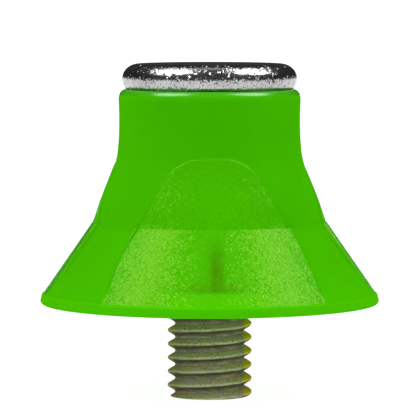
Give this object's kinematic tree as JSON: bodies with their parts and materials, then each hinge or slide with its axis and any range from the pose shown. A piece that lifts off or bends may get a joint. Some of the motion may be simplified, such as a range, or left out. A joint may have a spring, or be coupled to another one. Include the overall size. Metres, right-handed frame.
{
  "type": "screw-in boot stud",
  "caption": "Screw-in boot stud: a flared polymer body with raised key panels, a domed steel wear tip on top, and a short metric threaded post moulded into its base.",
  "frame": {"origin": "centre of the seating face, where it meets the thread's axis", "axes": "+Z along the thread's axis, from the seating face to the wear tip; -Y through the middle of one key panel; +X to that panel's right as seen from outside"},
  "size_m": [0.0198, 0.0198, 0.0193],
  "materials": {
    "green_polymer": "glossy moulded polymer, slightly translucent, with fine spark-eroded grain on the key panels",
    "plated_tip": "bright nickel plating with a fine tumbled speckle",
    "zinc_post": "zinc plating, yellow-olive passivated, rolled thread"
  },
  "bodies": {
    "root": {"stud_body": "green_polymer", "wear_tip": "plated_tip", "threaded_post": "zinc_post"}
  },
  "joints": []
}
